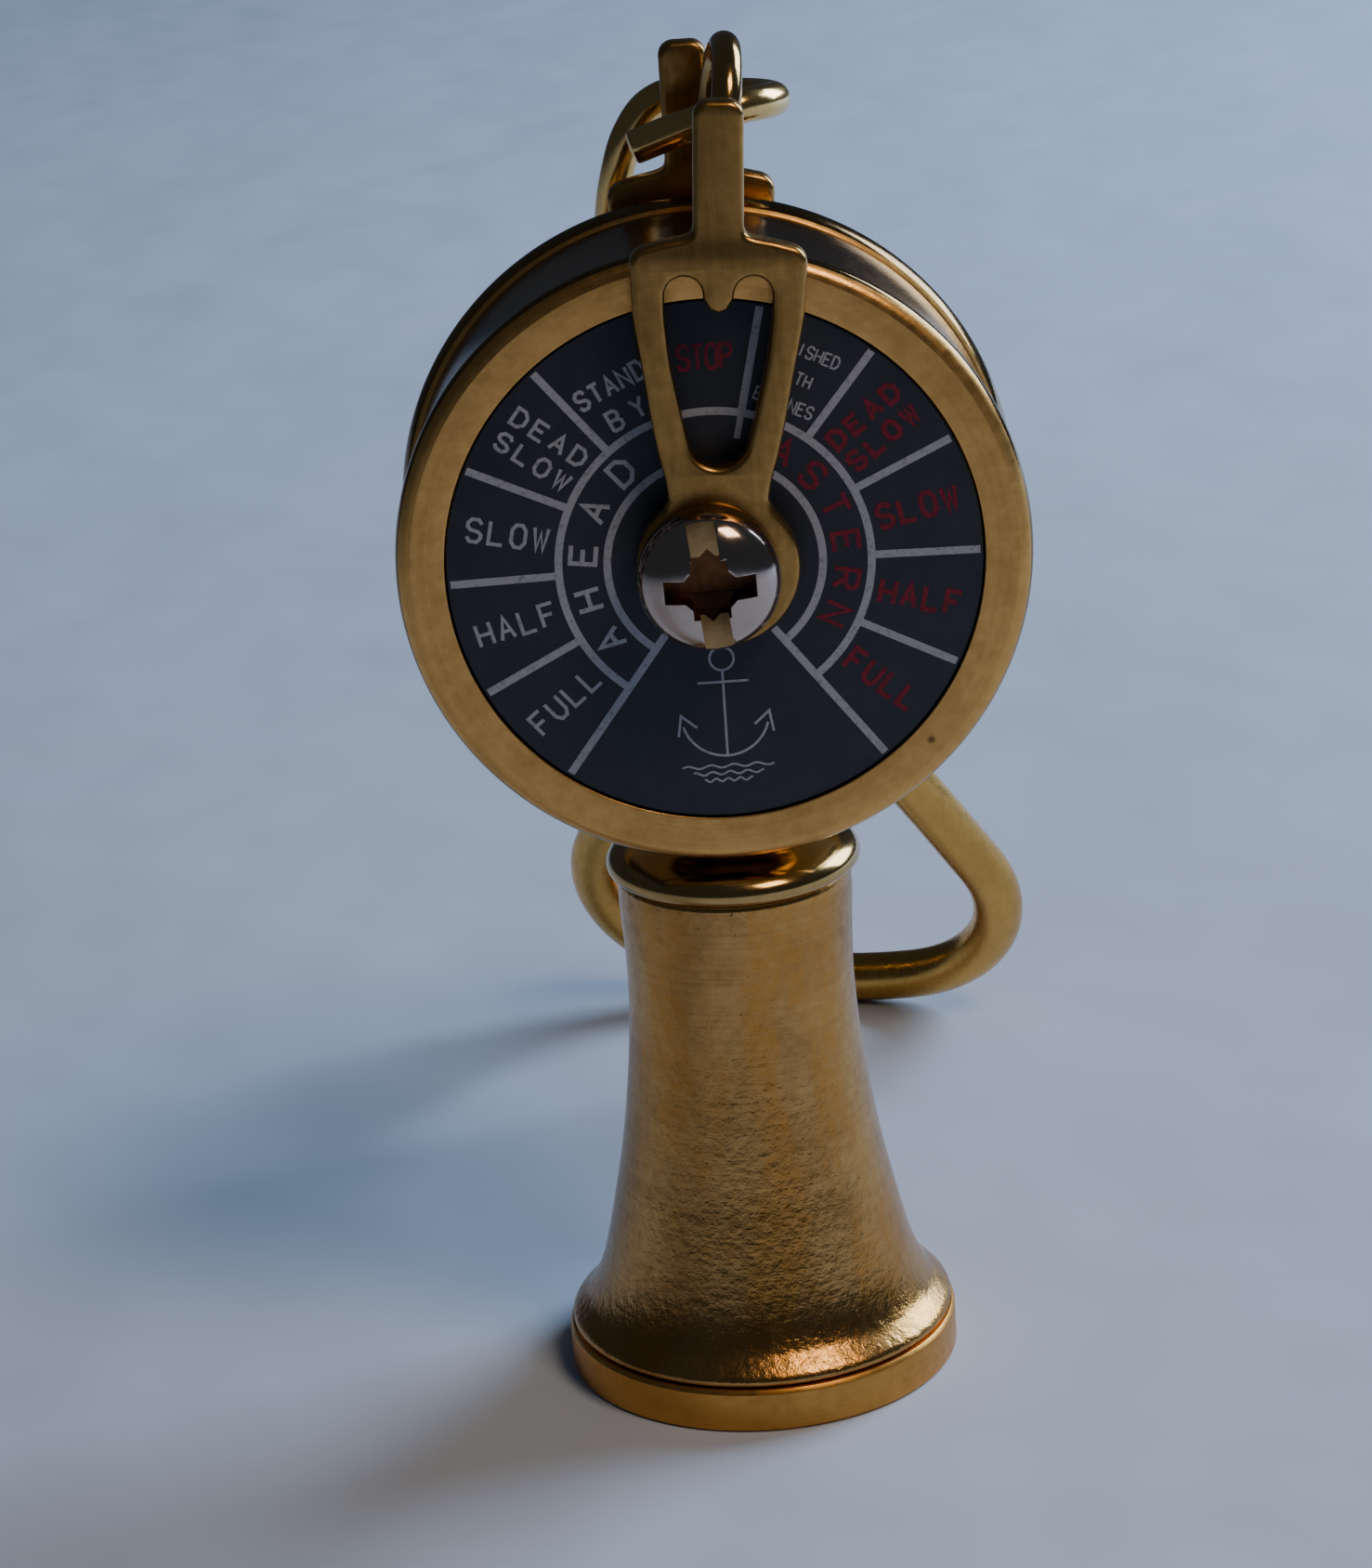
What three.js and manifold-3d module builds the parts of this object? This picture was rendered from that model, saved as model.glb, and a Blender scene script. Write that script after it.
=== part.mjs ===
// Ship engine telegraph key fob: a drum with an order dial on each face, on a bell-shaped pedestal.
// A fork-shaped lever turns over each dial, and a wire link, two chain links and a key ring hang
// from the rear lever. Millimetres. Origin at the centre of the foot's underside, +Z up, front -Y.
import * as THREE from 'three';
import Module from 'manifold-3d';
import { mergeVertices } from 'three/addons/utils/BufferGeometryUtils.js';

const wasm = await Module();
wasm.setup();

// Foot and pedestal
const FOOT_RADIUS = 8.5;
const FOOT_HEIGHT = 1.94;
const PEDESTAL_TOP = 22.65;
const STUD_RADIUS = 1.25;
const STUD_BOTTOM = 17.6;
const STUD_TOP = 29.4;

// Drum
const AXIS_HEIGHT = 37.79;
const DRUM_RADIUS = 13.0;
const SHELL_RADIUS = 12.6;
const FACE_Y = 5.3;
const DIAL_RADIUS = 10.9;
const DIAL_FACE_Y = 5.2;
const BEZEL_BACK_Y = 3.58;

// Levers and their screws
const LEVER_THICKNESS = 1.1;
const LEVER_INNER_Y = 5.8;
const LEVER_HEIGHT = 19.2;
const LEVER_OFFSET_X = 0.1;
const FRONT_LEVER_LEAN = THREE.MathUtils.degToRad(3.5);
const REAR_LEVER_LEAN = THREE.MathUtils.degToRad(0);
const HUB_RADIUS = 3.3;
const SPINDLE_RADIUS = 2.0;
const SCREW_HEAD_RADIUS = 2.88;
const SCREW_HEAD_SHIFT_X = -0.3;
const SCREW_HEAD_SHIFT_Z = 0.15;
const SCREW_SHANK_RADIUS = 1.25;

// Wire pieces
const LINK_WIRE = 0.72;
const JUMP_RING_WIRE = 0.7;
const JUMP_RING_RADIUS = 2.85;
const CHAIN_WIRE = 0.7;
const CHAIN_LENGTH = 12.3;
const CHAIN_HALF_WIDTH = 2.0;
const KEY_RING_WIRE = 1.25;
const WIRE_SIDES = 8;
const WIRE_GAP = 0.1;

const ROUND_SEGMENTS = 48;

const group = new THREE.Group();
group.name = 'engine_telegraph_fob';

function solid(geometry) {
  const bare = geometry.clone();
  bare.deleteAttribute('normal');
  bare.deleteAttribute('uv');
  const merged = mergeVertices(bare, 1e-4);
  return new wasm.Manifold(new wasm.Mesh({
    numProp: 3,
    vertProperties: merged.attributes.position.array,
    triVerts: new Uint32Array(merged.index.array),
  }));
}

function geometryOf(manifold) {
  const mesh = manifold.getMesh();
  const geometry = new THREE.BufferGeometry();
  geometry.setAttribute('position', new THREE.BufferAttribute(new Float32Array(mesh.vertProperties), 3));
  geometry.setIndex(new THREE.BufferAttribute(new Uint32Array(mesh.triVerts), 1));
  return geometry;
}

function add(name, geometry, color, roughness, metalness = 1) {
  geometry.computeVertexNormals();
  const material = new THREE.MeshStandardMaterial({ color, roughness, metalness });
  const mesh = new THREE.Mesh(geometry, material);
  mesh.name = name;
  group.add(mesh);
}

// A closed profile of [radius, height] pairs turned about +Z.
function turnedUpright(profile, segments = ROUND_SEGMENTS) {
  const points = profile.map(([r, h]) => new THREE.Vector2(r, h));
  return new THREE.LatheGeometry(points, segments).rotateX(Math.PI / 2);
}

// A profile of [radius, distance] pairs turned about the drum's axis; front pieces face -Y.
function turnedFront(profile, segments = ROUND_SEGMENTS) {
  const points = profile.map(([r, d]) => new THREE.Vector2(r, d));
  return new THREE.LatheGeometry(points, segments).rotateX(Math.PI).translate(0, 0, AXIS_HEIGHT);
}

function turnedRear(profile, segments = ROUND_SEGMENTS) {
  return turnedFront(profile, segments).rotateZ(Math.PI);
}

function arc(cx, cy, radius, fromDegrees, toDegrees, steps) {
  const points = [];
  for (let i = 0; i <= steps; i++) {
    const a = THREE.MathUtils.degToRad(fromDegrees + (toDegrees - fromDegrees) * i / steps);
    points.push([cx + radius * Math.cos(a), cy + radius * Math.sin(a)]);
  }
  return points;
}

function mirrored(points) {
  return points.map(([u, v]) => [-u, v]).reverse();
}

function pathOf(PathClass, points) {
  return new PathClass(points.map(([u, v]) => new THREE.Vector2(u, v)));
}

// A round wire along a smooth curve through the given points.
function wire(points, radius, steps, sides = WIRE_SIDES) {
  const section = pathOf(THREE.Shape, arc(0, 0, radius, 0, 360, sides).slice(1));
  const curve = new THREE.CatmullRomCurve3(points, false, 'centripetal');
  return new THREE.ExtrudeGeometry(section, { steps, extrudePath: curve });
}

// Foot: a flat disc with a spigot that centres the pedestal.
add('foot_ring', turnedUpright([
  [0, 0], [8.3, 0], [FOOT_RADIUS, 0.15], [FOOT_RADIUS, 1.72], [8.36, FOOT_HEIGHT],
  [2.6, FOOT_HEIGHT], [2.6, 3.5], [0, 3.5],
]), 0xa9752c, 0.35);

// Pedestal: one bell-shaped turning, bored below for the foot's spigot and above for the stud.
add('pedestal', turnedUpright([
  [0, 3.6], [2.65, 3.6], [2.65, 1.98], [8.16, 1.98], [8.34, 2.16], [8.34, 2.36],
  [8.04, 2.66], [7.56, 3.15], [7.14, 3.9], [6.77, 4.9], [6.42, 6.3], [6.05, 8.0],
  [5.7, 9.7], [5.27, 12.6], [5.0, 15.1], [4.88, 17.6], [5.0, 21.0],
  [4.92, PEDESTAL_TOP], [1.32, PEDESTAL_TOP], [1.32, 17.4], [0, 17.4],
]), 0xb58a3f, 0.4);

// Collar: a polished bead that the drum's belly sits on, hollowed to the drum's curve.
const collarBlank = solid(turnedUpright([
  [1.35, 22.7], [4.88, 22.7], [5.22, 22.82], [5.38, 23.0], [5.42, 23.22], [5.35, 23.48],
  [5.12, 23.76], [4.7, 23.99], [4.1, 24.16], [3.6, 24.34], [3.3, 24.7], [3.25, 26.0], [1.35, 26.0],
  [1.35, 22.7],
]));
const drumBelly = solid(turnedFront([
  [0, -6], [SHELL_RADIUS + 0.03, -6], [SHELL_RADIUS + 0.03, 6], [0, 6],
]));
add('collar_ring', geometryOf(collarBlank.subtract(drumBelly)), 0xb08a3c, 0.12);

// Stud: screws the collar and the drum to the pedestal.
add('neck_stud', turnedUpright([
  [0, STUD_BOTTOM], [STUD_RADIUS - 0.2, STUD_BOTTOM], [STUD_RADIUS, STUD_BOTTOM + 0.2],
  [STUD_RADIUS, STUD_TOP - 0.2], [STUD_RADIUS - 0.2, STUD_TOP], [0, STUD_TOP],
], 24), 0x9a9a98, 0.35);

// Shell: the drum's outer tube, a web across its middle and a bored hub for the spindle.
const shellBlank = solid(turnedFront([
  [2.12, -4.4], [3.4, -4.4], [3.4, -2.2], [11.6, -2.2], [11.6, -3.55], [SHELL_RADIUS, -3.55],
  [12.52, -2.0], [12.5, 0], [12.52, 2.0], [SHELL_RADIUS, 3.55], [11.6, 3.55], [11.6, 2.2],
  [3.4, 2.2], [3.4, 4.4], [2.12, 4.4], [2.12, -4.4],
]));
const studHole = solid(turnedUpright([
  [0, 20], [STUD_RADIUS + 0.07, 20], [STUD_RADIUS + 0.07, STUD_TOP + 0.3], [0, STUD_TOP + 0.3],
], 24));
add('drum_shell', geometryOf(shellBlank.subtract(studHole)), 0x9d7a34, 0.15);

// Bezels: satin rings with a rounded rim, spigoted into the shell, with a ledge for the dial.
const bezelProfile = [
  [10.2, 2.7], [11.55, 2.7], [11.55, BEZEL_BACK_Y], [12.62, BEZEL_BACK_Y], [12.84, 3.9],
  [12.96, 4.2], [DRUM_RADIUS, 4.5], [12.96, 4.75], [12.8, 5.02], [12.6, 5.2], [12.38, FACE_Y],
  [10.98, FACE_Y], [10.98, 4.76], [10.2, 4.76], [10.2, 2.7],
];
add('front_bezel', turnedFront(bezelProfile), 0xb98a3a, 0.38);
add('rear_bezel', turnedRear(bezelProfile), 0xb98a3a, 0.38);

// Dials: thin black discs with a centre hole that clears the spindle.
const dialProfile = [
  [2.3, 4.8], [DIAL_RADIUS, 4.8], [DIAL_RADIUS, DIAL_FACE_Y], [2.3, DIAL_FACE_Y], [2.3, 4.8],
];
add('front_dial', turnedFront(dialProfile), 0x14161f, 0.45, 0);
add('rear_dial', turnedRear(dialProfile), 0x14161f, 0.45, 0);

// Spindle: runs through the drum and takes a screw in each end.
add('spindle', turnedFront([
  [0, -2.0], [1.32, -2.0], [1.32, -5.74], [SPINDLE_RADIUS, -5.74], [SPINDLE_RADIUS, 5.74],
  [1.32, 5.74], [1.32, 2.0], [0, 2.0],
], 32), 0xa88340, 0.3);

// Spacer washers: hold each lever clear of its dial.
const spacerProfile = [[2.05, 5.36], [2.9, 5.36], [2.9, 5.74], [2.05, 5.74], [2.05, 5.36]];
add('front_spacer', turnedFront(spacerProfile, 32), 0x8f7434, 0.35);
add('rear_spacer', turnedRear(spacerProfile, 32), 0x8f7434, 0.35);

// Levers: a hub, two arms round a window with a pointer, shoulders and a straight stem.
const rightEdge = [
  ...arc(0, 0, HUB_RADIUS, -90, 50, 14),
  [2.02, 3.1], [2.12, 3.8], [2.42, 5.0], [2.72, 6.5], [2.98, 8.1], [3.4, 10.6], [3.5, 12.4],
  ...arc(2.76, 12.66, 0.76, 0, 72, 4),
  [2.2, 13.6], [1.35, 13.78], [1.08, 13.94], [1.0, 14.3],
  ...arc(0.4, LEVER_HEIGHT - 0.6, 0.6, 0, 90, 5),
];
const windowRight = [[1.33, 6.0], [1.6, 7.2], [1.92, 8.8], [2.13, 10.6]];
const leverWindow = [
  ...arc(0, 5.6, 1.2, -165, -15, 10),
  ...windowRight,
  ...arc(1.38, 11.45, 0.76, 0, 180, 8),
  [0.6, 11.2], [0.24, 10.5], [-0.14, 10.5], [-0.5, 11.2],
  ...arc(-1.32, 11.45, 0.8, 0, 180, 8),
  ...windowRight.map(([u, v]) => [-u, v]).reverse(),
];
const leverShape = pathOf(THREE.Shape, [...rightEdge, ...mirrored(rightEdge).slice(0, -1)]);
const screwHole = new THREE.Path();
screwHole.absarc(0, 0, 1.7, 0, Math.PI * 2, true);
leverShape.holes.push(pathOf(THREE.Path, leverWindow), screwHole);

function lever(lean) {
  const bevel = 0.14;
  const plate = new THREE.ExtrudeGeometry(leverShape, {
    depth: LEVER_THICKNESS - 2 * bevel,
    bevelEnabled: true,
    bevelThickness: bevel,
    bevelSize: bevel,
    bevelOffset: -bevel,
    bevelSegments: 1,
    curveSegments: 10,
  });
  plate.translate(0, 0, bevel).rotateX(Math.PI / 2).rotateY(lean);
  return plate.translate(0, -LEVER_INNER_Y, 0);
}
add('handle_front', lever(FRONT_LEVER_LEAN).translate(LEVER_OFFSET_X, 0, AXIS_HEIGHT), 0xb5862f, 0.36);
add('handle_rear', lever(-REAR_LEVER_LEAN).rotateZ(Math.PI)
  .translate(LEVER_OFFSET_X, 0, AXIS_HEIGHT), 0xb5862f, 0.36);

// Hub screws: pan heads with one long slot crossed by a recess, tipped a little off upright.
function hubScrew(turned) {
  const side = turned === turnedFront ? -1 : 1;
  const headBase = LEVER_INNER_Y + LEVER_THICKNESS + 0.02;
  const shank = solid(turned([
    [0, 2.6], [SCREW_SHANK_RADIUS, 2.6], [SCREW_SHANK_RADIUS, headBase + 0.6], [0, headBase + 0.6],
  ], 36));
  const head = solid(turned([
    [0, headBase], [2.7, headBase], [SCREW_HEAD_RADIUS, headBase + 0.15],
    [SCREW_HEAD_RADIUS, headBase + 1.25], [2.74, headBase + 1.65], [2.42, headBase + 2.05],
    [1.85, headBase + 2.4], [1.1, headBase + 2.62], [0, headBase + 2.7],
  ], 36).translate(SCREW_HEAD_SHIFT_X, 0, SCREW_HEAD_SHIFT_Z));
  const cutter = (width, height, floor, tilt) => {
    const depth = 3;
    const y = side * (headBase + floor + depth / 2);
    return solid(new THREE.BoxGeometry(width, depth, height)
      .rotateY(THREE.MathUtils.degToRad(tilt))
      .translate(SCREW_HEAD_SHIFT_X, y, AXIS_HEIGHT + SCREW_HEAD_SHIFT_Z));
  };
  return geometryOf(shank.add(head)
    .subtract(cutter(1.15, 7, 1.8, -5.5))
    .subtract(cutter(3.7, 0.95, 1.15, -1.5))
    .subtract(cutter(1.45, 2.4, 1.15, -1.5)));
}
add('front_screw', hubScrew(turnedFront), 0xb9a074, 0.2);
add('rear_screw', hubScrew(turnedRear), 0xb9a074, 0.2);

// Open wire link: its cut end lies before the rear stem, and the wire turns round the stem,
// drops behind the drum and closes in an eye.
const chainStart = new THREE.Vector3(-1.6, 17.2, 34.4);
const ringApex = new THREE.Vector3(1.807, 29.508, 19.801);
const chainRun = ringApex.clone().sub(chainStart).normalize();
const eyeRadius = 1.75;
const eyeCentre = chainStart.clone().add(new THREE.Vector3(0, -chainRun.y, -chainRun.z)
  .normalize().multiplyScalar(eyeRadius));
const eyePoints = [];
for (let degrees = 170; degrees <= 460; degrees += 29) {
  const a = THREE.MathUtils.degToRad(degrees);
  eyePoints.push(new THREE.Vector3(chainStart.x, Math.cos(a) * eyeRadius, Math.sin(a) * eyeRadius)
    .add(new THREE.Vector3(0, eyeCentre.y, eyeCentre.z)));
}
const linkPoints = [
  [-2.3, 3.0, 53.26], [-1.0, 3.0, 53.7], [0.31, 3.0, 54.13], [1.4, 3.0, 54.46], [2.3, 3.25, 54.66],
  [3.25, 4.1, 54.6], [3.78, 5.6, 54.4], [3.35, 7.4, 54.2], [2.3, 8.3, 54.15], [0.9, 8.45, 54.35],
  [-0.4, 8.4, 54.35], [-1.5, 8.4, 53.85], [-2.36, 8.45, 52.7], [-2.9, 8.7, 51.2],
  [-3.3, 9.3, 49.2], [-3.4, 10.4, 46.0], [-3.0, 12.0, 42.6], [-2.2, 13.6, 39.6],
].map(([x, y, z]) => new THREE.Vector3(x, y, z));
add('hook_link', wire([...linkPoints, ...eyePoints], LINK_WIRE, 76), 0xb39a5a, 0.18);

// Jump ring: stands between the two stems with the open link through it.
const jumpRingPoints = [];
const jumpRingStep = (Math.PI * 2 - WIRE_GAP / JUMP_RING_RADIUS) / 32;
for (let i = 0; i <= 32; i++) {
  const a = -Math.PI / 2 + i * jumpRingStep;
  jumpRingPoints.push(new THREE.Vector3(
    0, Math.cos(a) * JUMP_RING_RADIUS, Math.sin(a) * JUMP_RING_RADIUS));
}
add('jump_ring', wire(jumpRingPoints, JUMP_RING_WIRE, 32)
  .rotateZ(THREE.MathUtils.degToRad(3))
  .rotateY(THREE.MathUtils.degToRad(9.5))
  .translate(1.35, 1.7, 54.6), 0x9c7a3c, 0.15);

// Chain links: two stadium-shaped wire links set square to each other.
const chainSide = new THREE.Vector3(Math.cos(-0.273), Math.sin(-0.273), 0);
chainSide.sub(chainRun.clone().multiplyScalar(chainSide.dot(chainRun))).normalize();
const chainNormal = new THREE.Vector3().crossVectors(chainRun, chainSide).normalize();

function chainLink(topOffset, across) {
  const straight = CHAIN_LENGTH - 2 * CHAIN_HALF_WIDTH;
  const outline = [
    [CHAIN_HALF_WIDTH, -WIRE_GAP / 2],
    [CHAIN_HALF_WIDTH, -straight / 4],
    ...arc(0, -straight / 2, CHAIN_HALF_WIDTH, 0, -180, 12),
    [-CHAIN_HALF_WIDTH, -straight / 4],
    [-CHAIN_HALF_WIDTH, 0],
    [-CHAIN_HALF_WIDTH, straight / 4],
    ...arc(0, straight / 2, CHAIN_HALF_WIDTH, 180, 0, 12),
    [CHAIN_HALF_WIDTH, straight / 4],
    [CHAIN_HALF_WIDTH, WIRE_GAP / 2],
  ];
  const centre = chainStart.clone().add(chainRun.clone().multiplyScalar(topOffset + CHAIN_LENGTH / 2));
  const points = outline.map(([across_mm, along]) => centre.clone()
    .add(across.clone().multiplyScalar(across_mm))
    .add(chainRun.clone().multiplyScalar(-along)));
  return wire(points, CHAIN_WIRE, 40);
}
const firstTop = -(LINK_WIRE + CHAIN_WIRE + WIRE_GAP);
const secondTop = firstTop + CHAIN_LENGTH - (2 * CHAIN_WIRE + WIRE_GAP);
add('chain_link_a', chainLink(firstTop, chainSide), 0xb39a5a, 0.18);
add('chain_link_b', chainLink(secondTop, chainNormal), 0xb39a5a, 0.18);

// Key ring: thick wire bent to a rounded triangle with a bowed base, standing behind the pedestal.
const ringWidth = 26.93;
const ringHeight = 26.08;
const ringCorner = 6.62;
const ringSag = 3.76;
const ringFoot = new THREE.Vector2(3.05, 33.8);
const ringYaw = THREE.MathUtils.degToRad(-15.65);
const ringLean = THREE.MathUtils.degToRad(60.75);
const ringRoll = THREE.MathUtils.degToRad(-3.54);

function fillet(before, corner, after, radius, steps) {
  const toBefore = before.clone().sub(corner).normalize();
  const toAfter = after.clone().sub(corner).normalize();
  const half = Math.acos(toBefore.dot(toAfter)) / 2;
  const centre = toBefore.clone().add(toAfter).normalize().multiplyScalar(radius / Math.sin(half)).add(corner);
  const start = corner.clone().add(toBefore.multiplyScalar(radius / Math.tan(half)));
  const end = corner.clone().add(toAfter.multiplyScalar(radius / Math.tan(half)));
  const from = Math.atan2(start.y - centre.y, start.x - centre.x);
  let sweep = Math.atan2(end.y - centre.y, end.x - centre.x) - from;
  sweep -= Math.round(sweep / (Math.PI * 2)) * Math.PI * 2;
  const points = [];
  for (let i = 0; i <= steps; i++) {
    const a = from + sweep * i / steps;
    points.push(new THREE.Vector2(centre.x + radius * Math.cos(a), centre.y + radius * Math.sin(a)));
  }
  return points;
}
const ringRight = new THREE.Vector2(ringWidth / 2, 0);
const ringTop = new THREE.Vector2(0, ringHeight);
const ringLeft = new THREE.Vector2(-ringWidth / 2, 0);
const ringBase = new THREE.Vector2(0, -ringSag);
const apexArc = fillet(ringRight, ringTop, ringLeft, ringCorner, 8);
const leftArc = fillet(ringTop, ringLeft, ringBase, ringCorner, 8);
const rightArc = fillet(ringBase, ringRight, ringTop, ringCorner, 8);
const seam = apexArc.at(-1).clone().lerp(leftArc[0], 0.5);
const seamStep = leftArc[0].clone().sub(apexArc.at(-1)).setLength(WIRE_GAP / 2);
const baseCurve = new THREE.QuadraticBezierCurve(leftArc.at(-1), ringBase, rightArc[0]).getPoints(8);
const ringOutline = [
  seam.clone().add(seamStep), ...leftArc, ...baseCurve.slice(1, -1), ...rightArc, ...apexArc,
  seam.clone().sub(seamStep),
];
const ringPoints = ringOutline.map((point) => {
  const flat = new THREE.Vector2(point.x, point.y - ringHeight * 0.35)
    .rotateAround(new THREE.Vector2(), ringRoll);
  return new THREE.Vector3(
    Math.cos(ringYaw) * flat.x + Math.sin(ringYaw) * Math.cos(ringLean) * flat.y + ringFoot.x,
    Math.sin(ringYaw) * flat.x - Math.cos(ringYaw) * Math.cos(ringLean) * flat.y + ringFoot.y,
    Math.sin(ringLean) * flat.y,
  );
});
const ringLowest = Math.min(...ringPoints.map((point) => point.z));
ringPoints.forEach((point) => { point.z += KEY_RING_WIRE - ringLowest; });
add('key_ring', wire(ringPoints, KEY_RING_WIRE, 60, 10), 0xc9a04a, 0.25);

export default group;
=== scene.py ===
"""Looks of a ship engine telegraph key fob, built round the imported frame. Lengths here are in millimetres,
turned into metres when a mesh is made. Origin at the foot's underside, +Z up, the front dial faces -Y."""
import math
import bmesh
import bpy
from mathutils import Matrix, Vector


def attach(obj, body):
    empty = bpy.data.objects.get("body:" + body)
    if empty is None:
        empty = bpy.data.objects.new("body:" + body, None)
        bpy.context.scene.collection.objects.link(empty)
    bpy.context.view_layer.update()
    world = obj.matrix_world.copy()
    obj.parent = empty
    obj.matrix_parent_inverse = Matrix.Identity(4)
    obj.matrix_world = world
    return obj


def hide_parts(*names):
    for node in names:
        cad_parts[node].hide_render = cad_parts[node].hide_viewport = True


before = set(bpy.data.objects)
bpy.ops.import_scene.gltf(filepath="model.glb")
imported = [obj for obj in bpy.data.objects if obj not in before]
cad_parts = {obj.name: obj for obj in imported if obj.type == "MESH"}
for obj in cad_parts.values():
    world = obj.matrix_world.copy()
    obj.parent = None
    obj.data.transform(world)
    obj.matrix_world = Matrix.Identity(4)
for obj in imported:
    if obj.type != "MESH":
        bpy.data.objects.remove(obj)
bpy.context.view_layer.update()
MM = 0.001

# Foot, pedestal and collar; here and below, a bore, a hole or a spigot is given by its radius
FOOT_RADIUS = 8.5
FOOT_HEIGHT = 1.94
FOOT_SPIGOT = 2.6
PEDESTAL_TOP = 22.65
COLLAR_BOTTOM = 22.7
COLLAR_TOP = 26.0
COLLAR_BORE = 1.35
STUD_BORE = 1.32

# Drum: the Y values are measured outwards from its middle
AXIS_HEIGHT = 37.79
DRUM_RADIUS = 13.0
SHELL_RADIUS = 12.6
SHELL_INNER = 11.6
SHELL_EDGE_Y = 3.55
DISC_WALL_Y = 2.2
BOSS_RADIUS = 3.4
BOSS_Y = 4.4
SPINDLE_BORE = 2.12
FACE_Y = 5.3
RIM_INNER = 10.98
DIAL_RADIUS = 10.9
DIAL_HOLE = 2.3
DIAL_BACK_Y = 4.8
DIAL_FACE_Y = 5.2

# Levers and screws; leans and tilts are in degrees
LEVER_INNER_Y = 5.8
LEVER_THICKNESS = 1.1
LEVER_EDGE = 0.26
LEVER_HEIGHT = 19.2
LEVER_OFFSET_X = 0.1
LEVER_HOLE = 1.7
FRONT_LEVER_LEAN = 3.5
HUB_RADIUS = 3.3
SCREW_SHANK_RADIUS = 1.25
SCREW_HEAD_RADIUS = 2.88
SCREW_HEAD_SHIFT = (-0.3, 0.15)
SLOT_TILT = -5.5
RECESS_TILT = -1.5

# Wire radii
LINK_WIRE = 0.72
RING_WIRE = 0.7
SMALL_RING_WIRE = 0.62
KEY_RING_WIRE = 1.25

ROUND_STEPS = 192
DRUM_STEPS = 256


# ---------------------------------------------------------------- outlines

def arc(cx, cy, radius, start, end, steps):
    """Points along an arc, in degrees anticlockwise from +X."""
    angles = [math.radians(start + (end - start) * i / steps) for i in range(steps + 1)]
    return [(cx + radius * math.cos(a), cy + radius * math.sin(a)) for a in angles]


def smooth_line(points, steps=6):
    """A curve through the points, close to a centripetal Catmull-Rom spline."""
    vectors = [Vector(p) for p in points]
    ends = [2 * vectors[0] - vectors[1], *vectors, 2 * vectors[-1] - vectors[-2]]
    out = []
    for i in range(1, len(ends) - 2):
        p0, p1, p2, p3 = ends[i - 1:i + 3]
        t1 = (p1 - p0).length ** 0.5
        t2 = t1 + (p2 - p1).length ** 0.5
        t3 = t2 + (p3 - p2).length ** 0.5
        for k in range(steps):
            t = t1 + (t2 - t1) * k / steps
            a1 = p0.lerp(p1, t / t1)
            a2 = p1.lerp(p2, (t - t1) / (t2 - t1))
            a3 = p2.lerp(p3, (t - t2) / (t3 - t2))
            b1 = a1.lerp(a2, t / t2)
            b2 = a2.lerp(a3, (t - t1) / (t3 - t1))
            out.append(b1.lerp(b2, (t - t1) / (t2 - t1)))
    return [tuple(p) for p in [*out, vectors[-1]]]


def rounded(points, radius, closed=True, steps=4):
    """The outline with each sharp corner turned into a small arc."""
    vectors = [Vector(p) for p in points]
    out = []
    for i, corner in enumerate(vectors):
        if not closed and i in (0, len(vectors) - 1):
            out.append(corner)
            continue
        to_before = vectors[i - 1] - corner
        to_after = vectors[(i + 1) % len(vectors)] - corner
        turn = math.pi - to_before.angle(to_after)
        if turn < math.radians(18):
            out.append(corner)
            continue
        reach = min(radius * math.tan(turn / 2), to_before.length * 0.45, to_after.length * 0.45)
        first = corner + to_before.normalized() * reach
        last = corner + to_after.normalized() * reach
        for k in range(steps + 1):
            t = k / steps
            out.append(first * (1 - t) ** 2 + corner * (2 * t * (1 - t)) + last * t ** 2)
    return [tuple(p) for p in out]


# ---------------------------------------------------------------- meshes

def make_object(name, mesh_data, material, body, replaces=()):
    """Puts a finished mesh in the scene, on its body, in place of the CAD nodes it replaces."""
    piece = bpy.data.objects.new(name, mesh_data)
    bpy.context.scene.collection.objects.link(piece)
    mesh_data.materials.clear()
    mesh_data.materials.append(material)
    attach(piece, body)
    if replaces:
        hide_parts(*replaces)
    return piece


def finished_mesh(name, bm, sharp=32.0):
    """A bmesh in millimetres made into a smooth-shaded mesh in metres, sharp only at real edges."""
    bmesh.ops.remove_doubles(bm, verts=bm.verts, dist=1e-5)
    bmesh.ops.recalc_face_normals(bm, faces=bm.faces)
    bmesh.ops.scale(bm, vec=(MM, MM, MM), verts=bm.verts)
    data = bpy.data.meshes.new(name)
    bm.to_mesh(data)
    bm.free()
    data.shade_smooth()
    data.set_sharp_from_angle(angle=math.radians(sharp))
    return data


def lathe(profile, place=None, steps=ROUND_STEPS):
    """A closed profile of (radius, height) turned about +Z, as a bmesh; place moves it afterwards."""
    bm = bmesh.new()
    rings = []
    for radius, height in profile:
        if radius < 1e-6:
            rings.append([bm.verts.new((0, 0, height))] * steps)
            continue
        angles = [2 * math.pi * i / steps for i in range(steps)]
        rings.append([bm.verts.new((radius * math.cos(a), radius * math.sin(a), height))
                      for a in angles])
    count = len(rings) if profile[0][0] > 1e-6 else len(rings) - 1
    for r in range(count):
        lower, upper = rings[r], rings[(r + 1) % len(rings)]
        for i in range(steps):
            j = (i + 1) % steps
            corners = list(dict.fromkeys([lower[i], lower[j], upper[j], upper[i]]))
            if len(corners) > 2:
                bm.faces.new(corners)
    if place:
        bmesh.ops.transform(bm, matrix=place, verts=bm.verts)
    return bm


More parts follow.
